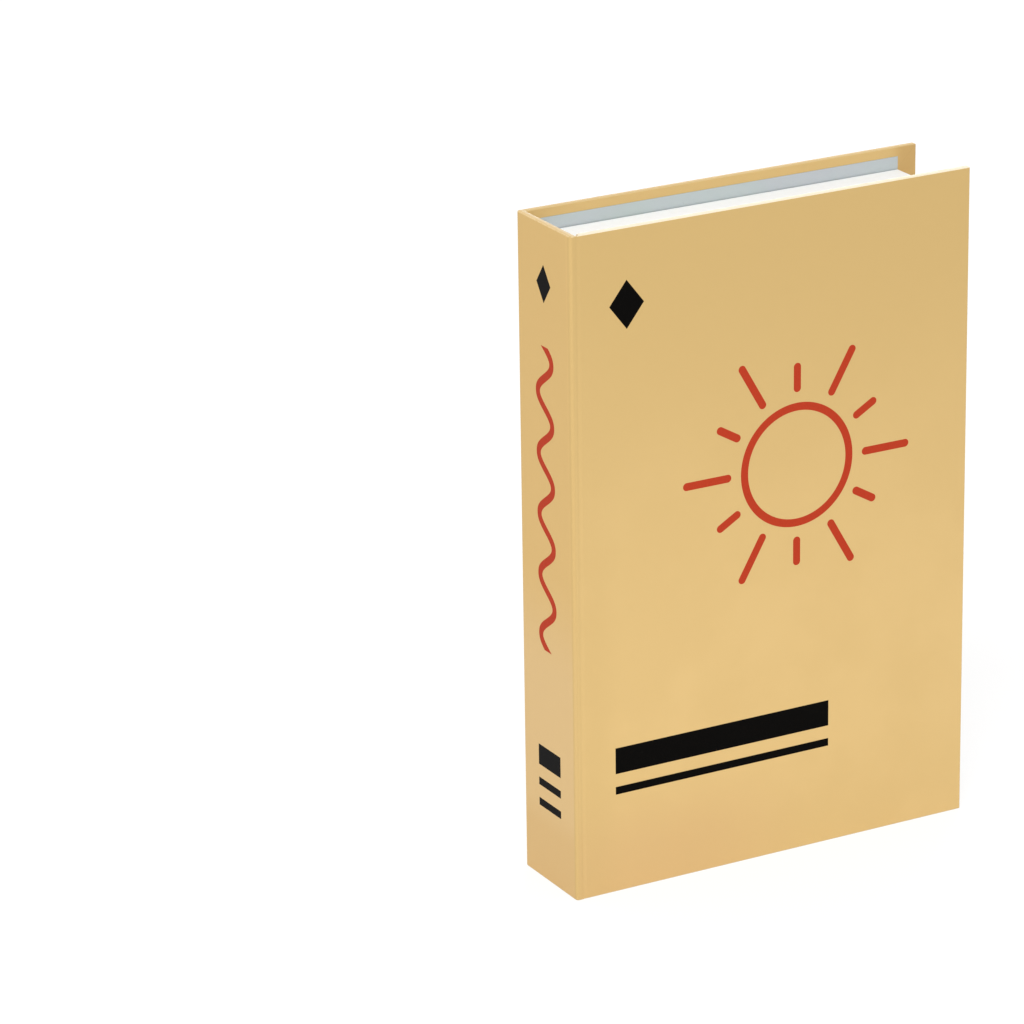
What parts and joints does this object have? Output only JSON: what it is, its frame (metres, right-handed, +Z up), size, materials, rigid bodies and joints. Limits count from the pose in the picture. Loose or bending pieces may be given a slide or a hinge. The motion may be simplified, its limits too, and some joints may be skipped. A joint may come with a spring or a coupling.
{
  "type": "book-shaped storage box",
  "caption": "Rigid cardboard storage box made like a hardback book, with a page-edged tray glued in a hard case and a front cover that opens as the lid.",
  "frame": {"origin": "middle of the closed book's footprint, on the surface that the tail edges stand on", "axes": "+Z up from the tail to the head of the spine, +X from the spine to the fore-edge, -Y out of the front cover, +Y out of the back cover"},
  "size_m": [0.165, 0.0382, 0.25],
  "materials": {
    "greyboard": "matte",
    "case_paper": "satin",
    "lining_paper": "matte",
    "page_paper": "matte",
    "corner_tape": "matte",
    "magnet": "satin",
    "sticker_paper": "satin"
  },
  "bodies": {
    "tray_case": {"spine_board": "greyboard", "back_board": "greyboard", "rear_case_wrap": "case_paper", "rear_lining": "lining_paper", "back_sticker": "sticker_paper", "tray_floor_board": "greyboard", "tray_tail_wall": "greyboard", "tray_head_wall": "greyboard", "tray_spine_wall": "greyboard", "tray_fore_edge_wall": "greyboard", "tray_page_wrap": "page_paper", "tray_floor_lining": "lining_paper", "corner_tape_tail_spine": "corner_tape", "corner_tape_tail_fore": "corner_tape", "corner_tape_head_spine": "corner_tape", "corner_tape_head_fore": "corner_tape", "tray_magnet_tail": "magnet", "tray_magnet_head": "magnet"},
    "front_cover": {"front_board": "greyboard", "front_case_wrap": "case_paper", "front_lining": "lining_paper", "front_magnet_tail": "magnet", "front_magnet_head": "magnet"}
  },
  "joints": [
    {"name": "cover_hinge", "type": "hinge", "parent": "tray_case", "child": "front_cover", "pos_m": [-0.07925, -0.01915, 0.125], "axis": [0, 0, -1], "range_deg": [0, 179]}
  ]
}
